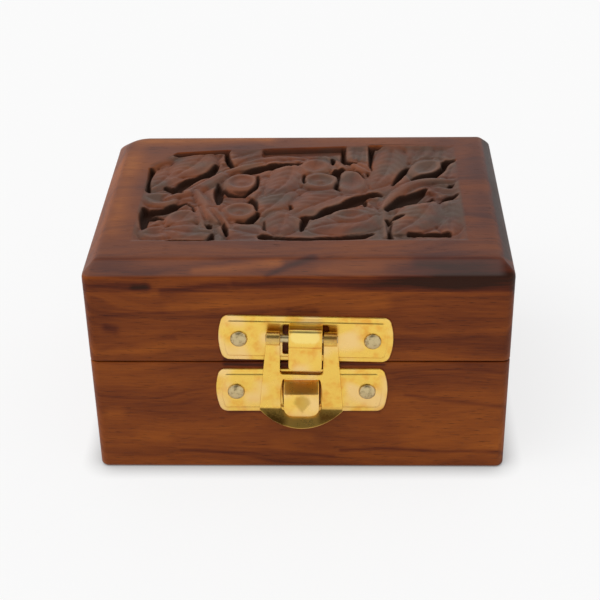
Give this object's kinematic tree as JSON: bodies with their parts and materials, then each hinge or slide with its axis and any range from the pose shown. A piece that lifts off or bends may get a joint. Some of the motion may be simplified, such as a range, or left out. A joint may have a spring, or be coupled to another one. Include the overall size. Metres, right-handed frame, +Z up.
{
  "type": "dice box with hinged lid",
  "caption": "Small rectangular hardwood box with a carved top, a lid on butt hinges at the rear and a stamped brass hasp latch at the front, for keeping dice.",
  "frame": {"origin": "centre of the box's underside, on the surface it stands on", "axes": "+Z up, -Y towards the front with the latch, +Y towards the hinges, +X to the right when facing the latch"},
  "size_m": [0.102, 0.079, 0.059],
  "materials": {
    "base_wood": "oiled dark rosewood, satin",
    "lid_wood": "oiled dark rosewood, satin",
    "carved_wood": "oiled dark rosewood, carved, satin",
    "floor_wood": "plain hardwood, matt",
    "felt": "short-pile felt",
    "latch_brass": "polished brass plating",
    "hinge_brass": "satin brass plating",
    "screw_brass": "satin",
    "steel": "bright zinc-plated steel"
  },
  "bodies": {
    "base": {"base_front_wall": "base_wood", "base_back_wall": "base_wood", "base_left_wall": "base_wood", "base_right_wall": "base_wood", "base_floor": "floor_wood", "base_lining": "felt", "left_hinge_base_leaf": "hinge_brass", "left_hinge_pin": "steel", "right_hinge_base_leaf": "hinge_brass", "right_hinge_pin": "steel", "hinge_base_screws": "screw_brass", "latch_base_plate": "latch_brass", "latch_base_nails": "steel"},
    "lid": {"lid_front_wall": "lid_wood", "lid_back_wall": "lid_wood", "lid_left_wall": "lid_wood", "lid_right_wall": "lid_wood", "lid_top_panel": "carved_wood", "left_hinge_lid_leaf": "hinge_brass", "right_hinge_lid_leaf": "hinge_brass", "hinge_lid_screws": "screw_brass", "latch_lid_plate": "latch_brass", "latch_hasp_pin": "steel", "latch_lid_nails": "steel"},
    "hasp": {"latch_hasp": "latch_brass"}
  },
  "joints": [
    {"name": "lid_hinge", "type": "hinge", "parent": "base", "child": "lid", "pos_m": [0, 0.035, 0.032], "axis": [-1, 0, 0], "range_deg": [0, 100]},
    {"name": "hasp_hinge", "type": "hinge", "parent": "lid", "child": "hasp", "pos_m": [0.00174, -0.0397, 0.0404], "axis": [-0.9997, 0, 0.0244], "range_deg": [0, 165]}
  ]
}
